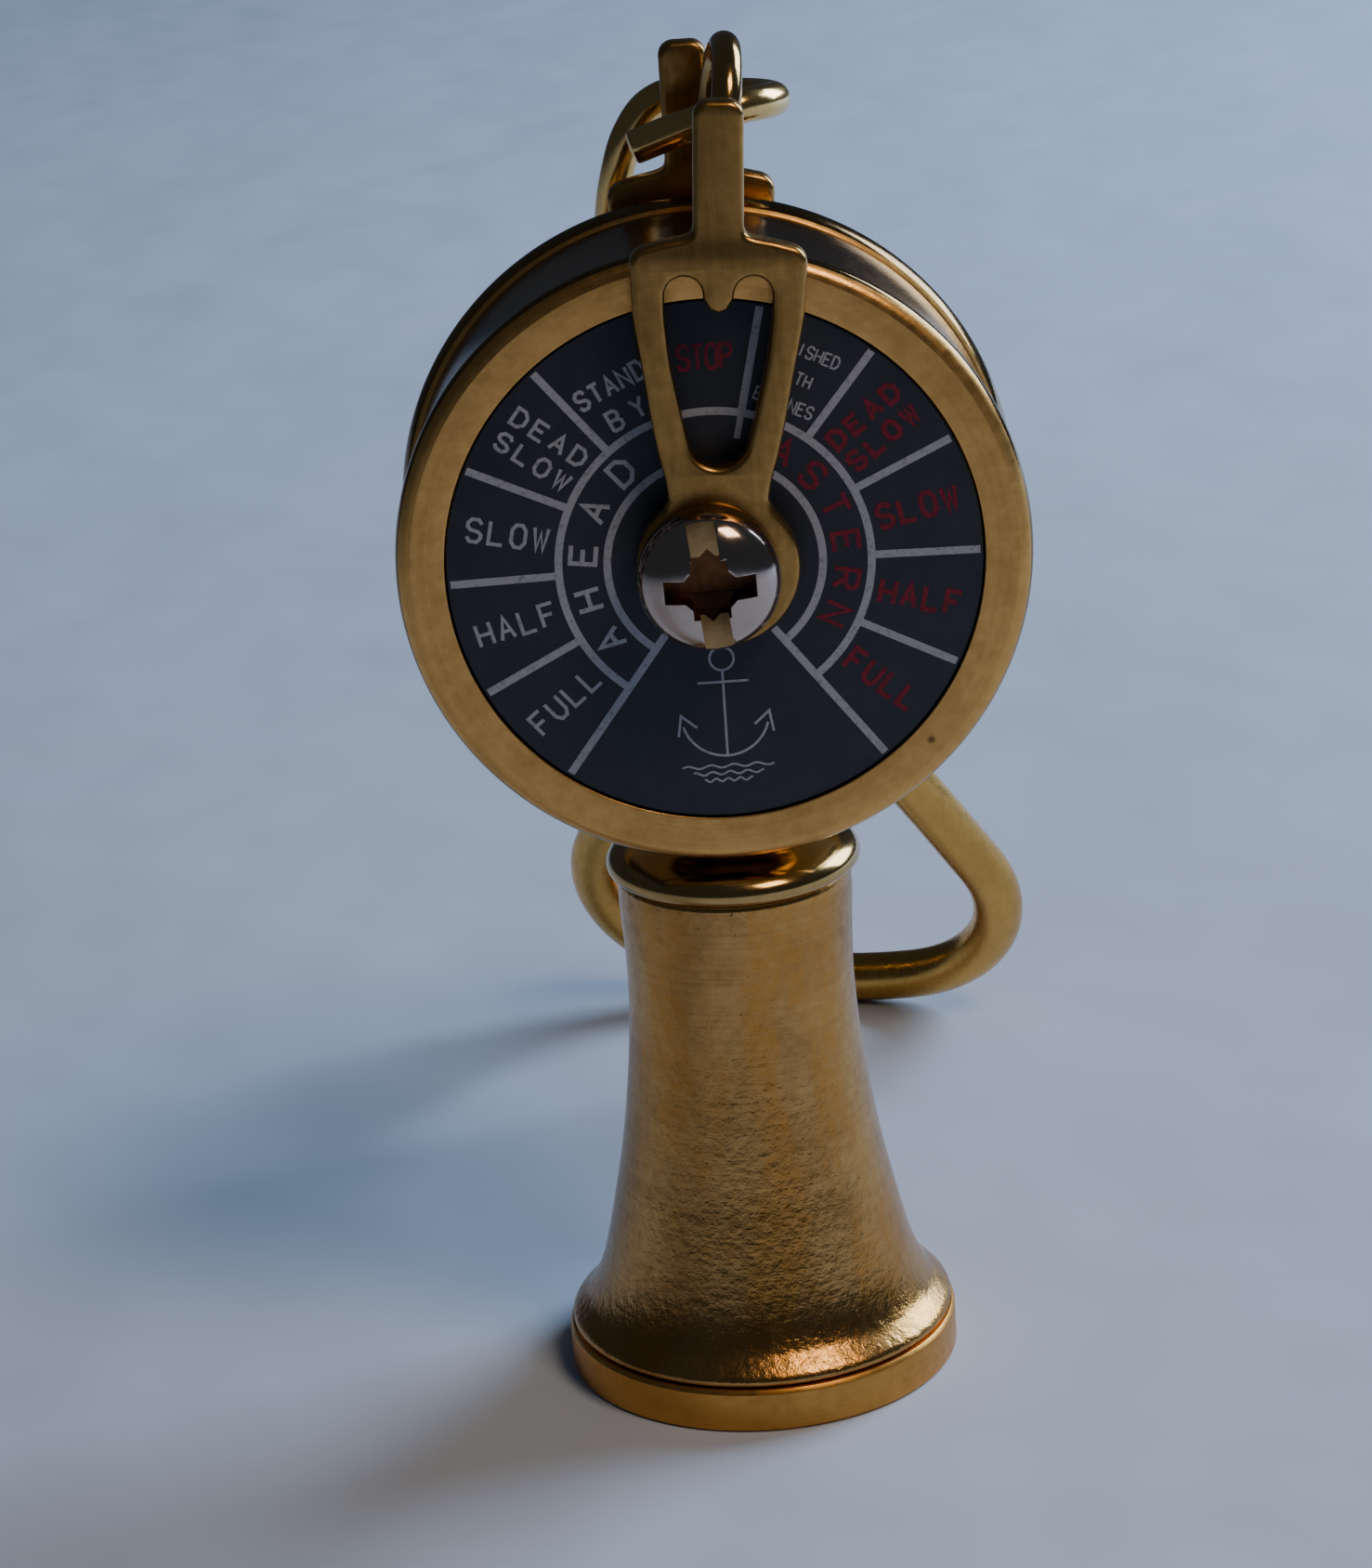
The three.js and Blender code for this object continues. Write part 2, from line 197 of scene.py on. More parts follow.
# A profile's height axis laid along the drum's axis: outwards to the front, or outwards to the rear.
TO_FRONT = Matrix.Translation((0, 0, AXIS_HEIGHT)) @ Matrix.Rotation(math.radians(90), 4, "X")
TO_REAR = Matrix.Translation((0, 0, AXIS_HEIGHT)) @ Matrix.Rotation(math.radians(-90), 4, "X")


def sweep(points, radius, sides=24):
    """A round wire along the points, with softly rounded cut ends."""
    path = [Vector(p) for p in points]
    before = [path[0], *path[:-1]]
    after = [*path[1:], path[-1]]
    tangents = [(b - a).normalized() for a, b in zip(before, after)]
    side = tangents[0].orthogonal().normalized()
    stations = []
    for point, tangent in zip(path, tangents):
        side = (side - tangent * side.dot(tangent)).normalized()
        stations.append((point, tangent, side, radius))
    # Each end: how far in from the cut, and how wide there, as shares of the wire's radius.
    ends = [(0.0, 0.45), (0.05, 0.78), (0.16, 0.95), (0.34, 1.0)]
    clear = 0.4 * radius
    first, last = stations[0], stations[-1]
    start = [(first[0] + first[1] * d * radius, first[1], first[2], radius * k) for d, k in ends]
    stop = [(last[0] - last[1] * d * radius, last[1], last[2], radius * k) for d, k in reversed(ends)]
    inner = [s for s in stations[1:-1]
             if (s[0] - first[0]).length > clear and (s[0] - last[0]).length > clear]
    bm = bmesh.new()
    rings = []
    for point, tangent, across, size in start + inner + stop:
        other = tangent.cross(across)
        angles = [2 * math.pi * i / sides for i in range(sides)]
        rings.append([bm.verts.new(point + (across * math.cos(a) + other * math.sin(a)) * size)
                      for a in angles])
    for lower, upper in zip(rings, rings[1:]):
        for i in range(sides):
            j = (i + 1) % sides
            bm.faces.new([lower[i], lower[j], upper[j], upper[i]])
    bm.faces.new(rings[0])
    bm.faces.new(rings[-1])
    return bm


def cut(piece, cutter, lining=0):
    """Takes a cutter's solid out of a piece; lining is the number of the material that the new faces get."""
    data = finished_mesh("cutter", cutter)
    for number in range(lining + 1):
        data.materials.append(piece.data.materials[number])
    for face in data.polygons:
        face.material_index = lining
    tool = bpy.data.objects.new("cutter", data)
    bpy.context.scene.collection.objects.link(tool)
    modifier = piece.modifiers.new("cut", "BOOLEAN")
    modifier.operation = "DIFFERENCE"
    modifier.solver = "EXACT"
    modifier.material_mode = "INDEX"
    modifier.object = tool
    apply_modifiers(piece)
    bpy.data.objects.remove(tool)


def apply_modifiers(piece):
    """Bakes a piece's modifiers into its mesh."""
    evaluated = piece.evaluated_get(bpy.context.evaluated_depsgraph_get())
    data = bpy.data.meshes.new_from_object(evaluated)
    piece.modifiers.clear()
    piece.data = data


def soften_edges(piece, width):
    """Rounds a piece's sharp edges by a small bevel."""
    modifier = piece.modifiers.new("soft_edges", "BEVEL")
    modifier.width = width * MM
    modifier.segments = 2
    modifier.limit_method = "ANGLE"
    modifier.angle_limit = math.radians(30)
    modifier.use_clamp_overlap = True
    apply_modifiers(piece)
    piece.data.shade_smooth()
    piece.data.set_sharp_from_angle(angle=math.radians(40))


def block(width, depth, height, centre, turn):
    """A box turned about its own middle, in the plane of the dials, and set at a centre."""
    bm = bmesh.new()
    bmesh.ops.create_cube(bm, size=1.0)
    bmesh.ops.scale(bm, vec=(width, depth, height), verts=bm.verts)
    bmesh.ops.rotate(bm, matrix=Matrix.Rotation(math.radians(turn), 3, "Y"), verts=bm.verts)
    bmesh.ops.translate(bm, vec=centre, verts=bm.verts)
    return bm


# ---------------------------------------------------------------- materials

def node(tree, kind, inputs, **settings):
    """Adds a shader node; an input may be a value or another node's output."""
    made = tree.nodes.new(kind)
    for key, value in settings.items():
        setattr(made, key, value)
    for key, value in inputs.items():
        if isinstance(value, bpy.types.NodeSocket):
            tree.links.new(value, made.inputs[key])
        else:
            made.inputs[key].default_value = value
    return made


def maths(tree, operation, a, b=0.0):
    """One sum, product or the like of two values."""
    return node(tree, "ShaderNodeMath", {0: a, 1: b}, operation=operation).outputs[0]


def spread(tree, value, low, high, to_low=0.0, to_high=1.0):
    """A value stretched from one range to another, and held inside it."""
    inputs = {0: value, 1: low, 2: high, 3: to_low, 4: to_high}
    return node(tree, "ShaderNodeMapRange", inputs).outputs[0]


def blend_colour(tree, share, first, second):
    """The first colour where the share is 0, the second where it is 1."""
    made = tree.nodes.new("ShaderNodeMix")
    made.data_type = "RGBA"
    sockets = (made.inputs[0], made.inputs[6], made.inputs[7])
    for socket, value in zip(sockets, (share, first, second)):
        if isinstance(value, bpy.types.NodeSocket):
            tree.links.new(value, socket)
        else:
            socket.default_value = value
    return made.outputs[2]


def noise(tree, vector, scale, detail=3.0, roughness=0.55):
    """Soft noise between 0 and 1."""
    inputs = {"Vector": vector, "Scale": scale, "Detail": detail, "Roughness": roughness}
    return node(tree, "ShaderNodeTexNoise", inputs).outputs[0]


def place_in_mm(tree):
    """Where a point is, in millimetres in the object's own frame."""
    where = node(tree, "ShaderNodeTexCoord", {}).outputs["Object"]
    return node(tree, "ShaderNodeVectorMath", {0: where, 3: 1 / MM}, operation="SCALE").outputs[0]


def stretched(tree, vector, scale):
    """The same vector scaled by its own amount along each axis."""
    return node(tree, "ShaderNodeMapping", {"Vector": vector, "Scale": scale}).outputs[0]


def turning_marks(tree, vector, about):
    """Noise drawn out into tool marks: rings about +Z (upright), rings about the drum's axis (drum), or
    lines along +Z (anything else)."""
    if about == "upright":
        return noise(tree, stretched(tree, vector, (0.12, 0.12, 7.0)), 1.0, 5.0, 0.65)
    if about == "drum":
        moved = node(tree, "ShaderNodeVectorMath", {0: vector, 1: (0, 0, -AXIS_HEIGHT)}).outputs[0]
        parts = node(tree, "ShaderNodeSeparateXYZ", {0: moved})
        x, y, z = parts.outputs
        flat = node(tree, "ShaderNodeCombineXYZ", {0: x, 1: 0.0, 2: z}).outputs[0]
        radius = node(tree, "ShaderNodeVectorMath", {0: flat}, operation="LENGTH").outputs["Value"]
        rings = {0: maths(tree, "MULTIPLY", radius, 7.0), 1: maths(tree, "MULTIPLY", y, 7.0),
                 2: maths(tree, "MULTIPLY", x, 0.12)}
        return noise(tree, node(tree, "ShaderNodeCombineXYZ", rings).outputs[0], 1.0, 5.0, 0.65)
    return noise(tree, stretched(tree, vector, (5.0, 5.0, 0.35)), 1.0, 4.0, 0.6)


def start_material(name):
    """A new material with its node tree, its main shader and the place of each point in millimetres."""
    material = bpy.data.materials.new(name)
    material.use_nodes = True
    tree = material.node_tree
    return material, tree, tree.nodes["Principled BSDF"], place_in_mm(tree)


def metal(name, clean, tarnish, rough, marks, mark_depth, cover, pits=0.0, spot=None,
          anisotropic=0.0, mottle=0.0, blush=None):
    """Metal with patches of tarnish, tool marks and a grain of fine scratches. Where asked, it also has
    pits, one dark spot (its place and radius), a hammered mottle of some depth, and upright streaks of
    another colour, its blush."""
    material, tree, shader, where = start_material(name)
    patches = noise(tree, where, 0.28, 6.0, 0.62)
    clouds = noise(tree, where, 1.6, 4.0, 0.6)
    lines = turning_marks(tree, where, marks)
    grain = noise(tree, where, 22.0, 2.0, 0.7)
    stain = maths(tree, "MULTIPLY", spread(tree, patches, 0.36, 0.68), 0.6)
    stain = maths(tree, "ADD", stain, spread(tree, clouds, 0.42, 0.75, 0.0, 0.35))
    stain = maths(tree, "ADD", stain, spread(tree, lines, 0.4, 0.72, 0.0, 0.35))
    share = maths(tree, "MULTIPLY", stain, cover)
    colour = blend_colour(tree, share, (*clean, 1), (*tarnish, 1))
    if blush:
        streaks = noise(tree, stretched(tree, where, (0.5, 0.5, 0.09)), 1.0, 3.0, 0.6)
        flecks = spread(tree, noise(tree, where, 2.6, 3.0, 0.6), 0.4, 0.66, 0.35, 1.0)
        redness = maths(tree, "MULTIPLY", spread(tree, streaks, 0.47, 0.6, 0.0, 0.85), flecks)
        colour = blend_colour(tree, redness, colour, (*blush, 1))
    fine = maths(tree, "ADD", lines, maths(tree, "MULTIPLY", grain, 0.25))
    height = maths(tree, "MULTIPLY", fine, mark_depth)
    if mottle:
        lumps = noise(tree, where, 2.3, 4.0, 0.62)
        height = maths(tree, "ADD", height, maths(tree, "MULTIPLY", lumps, mottle))
    gloss = maths(tree, "ADD", spread(tree, clouds, 0.35, 0.7, rough * 0.8, rough * 1.2),
                  spread(tree, grain, 0.3, 0.7, -0.03, 0.05))
    if pits:
        cells = node(tree, "ShaderNodeTexVoronoi", {"Vector": where, "Scale": 3.4, "Randomness": 1.0})
        size = spread(tree, noise(tree, where, 2.2), 0.4, 0.75, 0.02, 0.16)
        hole = spread(tree, maths(tree, "DIVIDE", cells.outputs["Distance"], size), 0.7, 1.2, 1.0, 0.0)
        hole = maths(tree, "MULTIPLY", hole, spread(tree, noise(tree, where, 0.5), 0.46, 0.6))
        hole = maths(tree, "MULTIPLY", hole, pits)
        colour = blend_colour(tree, hole, colour, (0.05, 0.028, 0.012, 1))
        height = maths(tree, "SUBTRACT", height, maths(tree, "MULTIPLY", hole, 0.03))
    if spot:
        middle, radius = spot
        reach = node(tree, "ShaderNodeVectorMath", {0: where, 1: middle}, operation="DISTANCE")
        wobble = maths(tree, "MULTIPLY", clouds, radius)
        reach = maths(tree, "ADD", reach.outputs["Value"], wobble)
        mark = spread(tree, reach, radius * 0.9, radius * 1.6, 0.75, 0.0)
        colour = blend_colour(tree, mark, colour, (0.06, 0.035, 0.02, 1))
    bump = node(tree, "ShaderNodeBump", {"Height": height, "Distance": MM, "Strength": 1.0})
    tree.links.new(colour, shader.inputs["Base Color"])
    tree.links.new(gloss, shader.inputs["Roughness"])
    tree.links.new(bump.outputs[0], shader.inputs["Normal"])
    shader.inputs["Metallic"].default_value = 1.0
    shader.inputs["Anisotropic"].default_value = anisotropic
    return material


def enamel(name):
    """The dials' navy-black paint: almost smooth, with dust and faint mottling."""
    material, tree, shader, where = start_material(name)
    clouds = noise(tree, where, 0.7, 5.0)
    dust = spread(tree, noise(tree, where, 9.0, 2.0), 0.64, 0.74, 0.0, 0.5)
    faded = spread(tree, clouds, 0.35, 0.7)
    colour = blend_colour(tree, faded, (0.017, 0.019, 0.027, 1), (0.027, 0.030, 0.041, 1))
    colour = blend_colour(tree, maths(tree, "MULTIPLY", dust, 0.16), colour, (0.25, 0.25, 0.26, 1))
    gloss = spread(tree, clouds, 0.3, 0.7, 0.4, 0.52)
    bump = node(tree, "ShaderNodeBump", {"Height": noise(tree, where, 7.0, 3.0), "Distance": 0.004 * MM})
    tree.links.new(colour, shader.inputs["Base Color"])
    tree.links.new(gloss, shader.inputs["Roughness"])
    tree.links.new(bump.outputs[0], shader.inputs["Normal"])
    shader.inputs["Specular IOR Level"].default_value = 0.4
    return material


def ink(name, colour, worn, wear):
    """Printing ink, thin and patchy where the wear is high."""
    material, tree, shader, where = start_material(name)
    thin = spread(tree, noise(tree, where, 5.5, 4.0, 0.7), 0.62 - wear * 0.3, 0.72, 0.0, 1.0)
    tree.links.new(blend_colour(tree, thin, (*colour, 1), (*worn, 1)), shader.inputs["Base Color"])
    tree.links.new(spread(tree, thin, 0.0, 1.0, 0.5, 0.62), shader.inputs["Roughness"])
    shader.inputs["Specular IOR Level"].default_value = 0.3
    return material


def floor_cloth(name):
    """The pale floor: faintly blue and matt, with slow shallow waves."""
    material, tree, shader, where = start_material(name)
    clouds = noise(tree, where, 0.02, 3.0)
    colour = blend_colour(tree, clouds, (0.58, 0.68, 0.88, 1), (0.62, 0.72, 0.91, 1))
    bump = node(tree, "ShaderNodeBump", {"Height": noise(tree, where, 0.04, 2.0), "Distance": 1.2 * MM})
    tree.links.new(colour, shader.inputs["Base Color"])
    tree.links.new(bump.outputs[0], shader.inputs["Normal"])
    shader.inputs["Roughness"].default_value = 0.9
    return material


# Each metal's clean and tarnished colours, then its roughness, tool marks and other signs of wear. The
# levers', the band's and the small ring's colours are darkened with painted shade or a painted dark
# reflection.
SATIN = metal("satin_brass", (0.66, 0.375, 0.125), (0.34, 0.165, 0.047), rough=0.22, marks="upright",
              mark_depth=0.008, cover=0.9, pits=0.9, anisotropic=0.3, mottle=0.05,
              blush=(0.58, 0.26, 0.05))
FACE = metal("face_brass", (0.84, 0.46, 0.14), (0.50, 0.26, 0.068), rough=0.34, marks="drum",
             mark_depth=0.003, cover=0.75, spot=((8.4, -FACE_Y, 29.6), 0.2), mottle=0.012)
FOOT = metal("foot_brass", (0.70, 0.35, 0.08), (0.44, 0.195, 0.04), rough=0.36, marks="upright",
             mark_depth=0.004, cover=0.7)
POLISHED = metal("polished_brass", (0.60, 0.39, 0.14), (0.34, 0.195, 0.065), rough=0.14, marks="upright",
                 mark_depth=0.0012, cover=0.7)
# Painted reflection: the band's brass is darkened to stand for the dark surroundings that its polished
# surface reflects.
BAND_PAINTED_REFLECTION = metal("band_brass_painted_reflection", (0.30, 0.175, 0.06), (0.15, 0.08, 0.026), rough=0.14, marks="drum",
             mark_depth=0.002, cover=0.7)
# Painted shade: the levers' brass is a darkened copy of the satin brass, standing for the levers' shaded,
# backlit look.
SHADED_LEVER_BRASS = metal("lever_brass", (0.50, 0.285, 0.085), (0.26, 0.135, 0.037), rough=0.30, marks="drawn",
              mark_depth=0.004, cover=0.8)
SCREW = metal("screw_brass", (0.56, 0.445, 0.37), (0.38, 0.28, 0.225), rough=0.13, marks="drum",
              mark_depth=0.001, cover=0.5)
SLOT_FLOOR = metal("slot_brass", (0.50, 0.33, 0.14), (0.28, 0.155, 0.06), rough=0.4, marks="drum",
                   mark_depth=0.003, cover=0.7)
RECESS = metal("recess_brown", (0.17, 0.072, 0.03), (0.06, 0.025, 0.011), rough=0.42, marks="drum",
               mark_depth=0.004, cover=0.7)
WIRE = metal("wire_brass", (0.92, 0.62, 0.23), (0.58, 0.35, 0.11), rough=0.18, marks="drawn",
             mark_depth=0.0015, cover=0.6)
# Painted shade: the small ring's brass is a darkened copy of the wire brass, standing for its shaded,
# backlit look.
SHADED_WIRE = metal("small_ring_brass_painted_shade", (0.58, 0.36, 0.13), (0.32, 0.18, 0.06), rough=0.14, marks="drawn",
                  mark_depth=0.0012, cover=0.6)
KEY_RING = metal("key_ring_brass", (0.72, 0.40, 0.10), (0.48, 0.245, 0.052), rough=0.27, marks="drawn",
                 mark_depth=0.003, cover=0.6, pits=0.3, mottle=0.008)
STEEL = metal("stud_steel", (0.50, 0.50, 0.49), (0.30, 0.29, 0.27), rough=0.35, marks="upright",
              mark_depth=0.003, cover=0.5)
DIAL = enamel("dial_enamel")
WHITE_INK = ink("white_ink", (0.40, 0.41, 0.45), (0.19, 0.20, 0.23), 0.35)
RED_INK = ink("red_ink", (0.23, 0.012, 0.030), (0.08, 0.010, 0.022), 0.6)


# ---------------------------------------------------------------- foot, pedestal, collar

def foot():
    """The foot disc, with a spigot that goes up into the bell."""
    profile = rounded([(0, 0), (8.38, 0), (FOOT_RADIUS, 0.12), (FOOT_RADIUS, 1.76), (8.38, FOOT_HEIGHT),
                       (FOOT_SPIGOT, FOOT_HEIGHT), (FOOT_SPIGOT, 3.5), (0, 3.5)], 0.1, closed=False)
    data = finished_mesh("foot", lathe(profile))
    make_object("foot_disc", data, FOOT, "stand", ["foot_ring"])


def pedestal():
    """The bell on its rolled lip, bored below for the foot's spigot and above for the stud."""
    lip = smooth_line([(8.16, 1.98), (8.31, 2.1), (8.34, 2.26), (8.25, 2.44), (8.04, 2.66)], 4)
    bell = smooth_line([(8.04, 2.66), (7.56, 3.15), (7.14, 3.9), (6.77, 4.9), (6.42, 6.3), (6.05, 8.0),
                        (5.7, 9.7), (5.27, 12.6), (5.0, 15.1), (4.88, 17.6), (4.91, 19.6), (5.0, 21.4)], 6)
    profile = [(0, 3.6), (2.65, 3.6), (2.65, 1.98), *lip, *bell[1:], (4.99, 22.45), (4.92, PEDESTAL_TOP),
               (STUD_BORE, PEDESTAL_TOP), (STUD_BORE, 17.4), (0, 17.4)]
    data = finished_mesh("pedestal", lathe(rounded(profile, 0.08, closed=False)))
    make_object("pedestal_bell", data, SATIN, "stand", ["pedestal"])


def collar():
    """The polished bead and the neck above it, whose top follows the drum's round underside."""
    bead = smooth_line([(4.88, COLLAR_BOTTOM), (5.22, 22.82), (5.38, 23.0), (5.42, 23.22), (5.35, 23.48),
                        (5.12, 23.76), (4.7, 23.99), (4.1, 24.16), (3.6, 24.34), (3.3, 24.7)], 5)
    bm = lathe([(COLLAR_BORE, COLLAR_BOTTOM), *bead, (3.25, COLLAR_TOP), (COLLAR_BORE, COLLAR_TOP)])
    # The neck's top stays just clear of the drum.
    reach = SHELL_RADIUS + 0.03
    for vertex in bm.verts:
        if vertex.co.z > COLLAR_TOP - 1.0:
            vertex.co.z = AXIS_HEIGHT - math.sqrt(reach ** 2 - vertex.co.x ** 2)
    data = finished_mesh("collar", bm)
    make_object("collar_bead", data, POLISHED, "stand", ["collar_ring"])


# ---------------------------------------------------------------- drum

def drum():
    """The band with its boss and the bore for the stud, and on each side a rim and a dial disc."""
    band = smooth_line([(SHELL_RADIUS, -SHELL_EDGE_Y), (12.55, -2.8), (12.52, -1.6), (12.5, 0),
                        (12.52, 1.6), (12.55, 2.8), (SHELL_RADIUS, SHELL_EDGE_Y)], 4)
    front_half = [(SHELL_INNER, SHELL_EDGE_Y), (SHELL_INNER, DISC_WALL_Y), (BOSS_RADIUS, DISC_WALL_Y),
                  (BOSS_RADIUS, BOSS_Y), (SPINDLE_BORE, BOSS_Y)]
    rear_half = [(radius, -y) for radius, y in reversed(front_half)]
    data = finished_mesh("drum_band", lathe([*rear_half, *band, *front_half], TO_FRONT, DRUM_STEPS))
    shell = make_object("drum_band", data, BAND_PAINTED_REFLECTION, "stand", ["drum_shell"])
    stud_room = lathe([(0, 20), (STUD_BORE, 20), (STUD_BORE, 29.7), (0, 29.7)], steps=48)
    cut(shell, stud_room)
    rim = smooth_line([(12.62, 3.58), (12.8, 3.78), (12.94, 4.14), (DRUM_RADIUS, 4.5), (12.94, 4.84),
                       (12.78, 5.08), (12.6, 5.22), (12.38, FACE_Y)], 4)
    profile = rounded([(10.2, 2.7), (11.55, 2.7), (11.55, 3.58), *rim, (RIM_INNER, FACE_Y),
                       (RIM_INNER, 4.76), (10.2, 4.76)], 0.07)
    dial = rounded([(DIAL_HOLE, DIAL_BACK_Y), (DIAL_RADIUS, DIAL_BACK_Y), (DIAL_RADIUS, DIAL_FACE_Y),
                    (DIAL_HOLE, DIAL_FACE_Y)], 0.03)
    for side, place in (("front", TO_FRONT), ("rear", TO_REAR)):
        data = finished_mesh(f"{side}_rim", lathe(profile, place, DRUM_STEPS))
        make_object(f"{side}_rim", data, FACE, "stand", [f"{side}_bezel"])
        # The rim's side faces shine like the band and share its painted dark reflection; its flat face is
        # duller.
        data.materials.append(BAND_PAINTED_REFLECTION)
        for face in data.polygons:
            face.material_index = 1 if abs(face.normal.y) < 0.6 else 0
        data = finished_mesh(f"{side}_disc", lathe(dial, place, DRUM_STEPS))
        make_object(f"{side}_disc", data, DIAL, "stand", [f"{side}_dial"])


# ---------------------------------------------------------------- dial printing

# Letters as pen strokes in a box one wide and one high.
LETTERS = {
    "A": [[(0, 0), (0.5, 1), (1, 0)], [(0.2, 0.36), (0.8, 0.36)]],
    "B": [[(0, 0), (0, 1), (0.68, 1), (0.92, 0.86), (0.92, 0.66), (0.68, 0.53), (0, 0.53)],
          [(0.68, 0.53), (1, 0.38), (1, 0.14), (0.7, 0), (0, 0)]],
    "D": [[(0, 0), (0, 1), (0.62, 1), (1, 0.72), (1, 0.28), (0.62, 0), (0, 0)]],
    "E": [[(1, 0), (0, 0), (0, 1), (1, 1)], [(0, 0.52), (0.8, 0.52)]],
    "F": [[(0, 0), (0, 1), (1, 1)], [(0, 0.52), (0.8, 0.52)]],
    "G": [[(1, 0.78), (0.75, 1), (0.25, 1), (0, 0.76), (0, 0.24), (0.25, 0), (0.75, 0), (1, 0.24),
           (1, 0.46), (0.55, 0.46)]],
    "H": [[(0, 0), (0, 1)], [(1, 0), (1, 1)], [(0, 0.5), (1, 0.5)]],
    "I": [[(0.5, 0), (0.5, 1)]],
    "L": [[(0, 1), (0, 0), (1, 0)]],
    "N": [[(0, 0), (0, 1), (1, 0), (1, 1)]],
    "O": [[(0.28, 0), (0, 0.24), (0, 0.76), (0.28, 1), (0.72, 1), (1, 0.76), (1, 0.24), (0.72, 0),
           (0.28, 0)]],
    "P": [[(0, 0), (0, 1), (0.7, 1), (1, 0.86), (1, 0.62), (0.7, 0.48), (0, 0.48)]],
    "R": [[(0, 0), (0, 1), (0.7, 1), (1, 0.86), (1, 0.62), (0.7, 0.48), (0, 0.48)],
          [(0.5, 0.48), (1, 0)]],
    "S": [[(1, 0.8), (0.76, 1), (0.26, 1), (0, 0.82), (0, 0.64), (0.24, 0.52), (0.78, 0.46), (1, 0.34),
           (1, 0.18), (0.76, 0), (0.24, 0), (0, 0.2)]],
    "T": [[(0, 1), (1, 1)], [(0.5, 0), (0.5, 1)]],
    "U": [[(0, 1), (0, 0.24), (0.26, 0), (0.74, 0), (1, 0.24), (1, 1)]],
    "W": [[(0, 1), (0.26, 0), (0.5, 0.78), (0.74, 0), (1, 1)]],
    "Y": [[(0, 1), (0.5, 0.5), (1, 1)], [(0.5, 0.5), (0.5, 0)]],
}
INK_HEIGHT = 0.012
ARC_LIFT = 0.006
INNER_ARC = 4.38
MIDDLE_ARC = 6.36
ORDERS_RADIUS = 8.5
LINE_WIDTH = 0.32
# Degrees from the top: half the inner arc's gap, the last sector line, and one sector's width.
ARC_GAP = 20
LAST_LINE = 143
SECTOR = 26


def ribbon(bm, points, width, place, lift=0.0):
    """A flat strip of ink along the points, mitred at its corners; place maps (u, v, height) to the dial.
    Strips that cross get different lifts, and an open one climbs a hair, so that no faces coincide."""
    path = [Vector(p) for p in points]
    ring = (path[0] - path[-1]).length < 1e-6
    if ring:
        path = path[:-1]
    count = len(path)
    lefts, rights = [], []
    for i, point in enumerate(path):
        ahead = path[(i + 1) % count] - point if ring or i < count - 1 else point - path[i - 1]
        behind = point - path[i - 1] if ring or i else ahead
        ahead, behind = ahead.normalized(), behind.normalized()
        normal = Vector((-ahead.y - behind.y, ahead.x + behind.x)).normalized()
        reach = width / 2 / max(0.45, normal.dot(Vector((-ahead.y, ahead.x))))
        lefts.append(point + normal * reach)
        rights.append(point - normal * reach)
    climb = 0.0 if ring else 0.003 / count
    top = [[bm.verts.new(place(p.x, p.y, INK_HEIGHT + lift + climb * i)) for i, p in enumerate(side)]
           for side in (lefts, rights)]
    base = [[bm.verts.new(place(p.x, p.y, -INK_HEIGHT)) for p in side] for side in (lefts, rights)]
    for i in range(count if ring else count - 1):
        j = (i + 1) % count
        bm.faces.new([top[0][i], top[0][j], top[1][j], top[1][i]])
        bm.faces.new([base[0][j], base[0][i], base[1][i], base[1][j]])
        bm.faces.new([top[0][j], top[0][i], base[0][i], base[0][j]])
        bm.faces.new([top[1][i], top[1][j], base[1][j], base[1][i]])
    if not ring:
        bm.faces.new([top[0][0], top[1][0], base[1][0], base[0][0]])
        bm.faces.new([top[1][-1], top[0][-1], base[0][-1], base[1][-1]])


def polar(radius, degrees):
    """A dial point at an angle clockwise from the top."""
    a = math.radians(degrees)
    return Vector((radius * math.sin(a), radius * math.cos(a)))


def word(bm, text, centre, along, size, place, width=0.62, gap=0.26, pen=0.15):
    """A straight word, given its centre, reading direction and letter height; width and gap are shares
    of that height."""
    along = along.normalized()
    up = Vector((-along.y, along.x))
    step = size * (width + gap)
    start = -step * (len(text) - 1) / 2 - size * width / 2
    for number, letter in enumerate(text):
        corner = centre + along * (start + step * number) - up * size / 2
        for layer, stroke in enumerate(LETTERS[letter]):
            points = [corner + along * (x * size * width) + up * (y * size) for x, y in stroke]
            ribbon(bm, points, pen, place, 0.004 * layer)


def curved_word(bm, text, first, last, size, place):
    """A word whose letters stand round the dial from one angle to another."""
    radius = (INNER_ARC + MIDDLE_ARC) / 2
    for number, letter in enumerate(text):
        angle = first + (last - first) * number / (len(text) - 1)
        word(bm, letter, polar(radius, angle), polar(1, angle + 90), size, place, 0.74, pen=0.19)


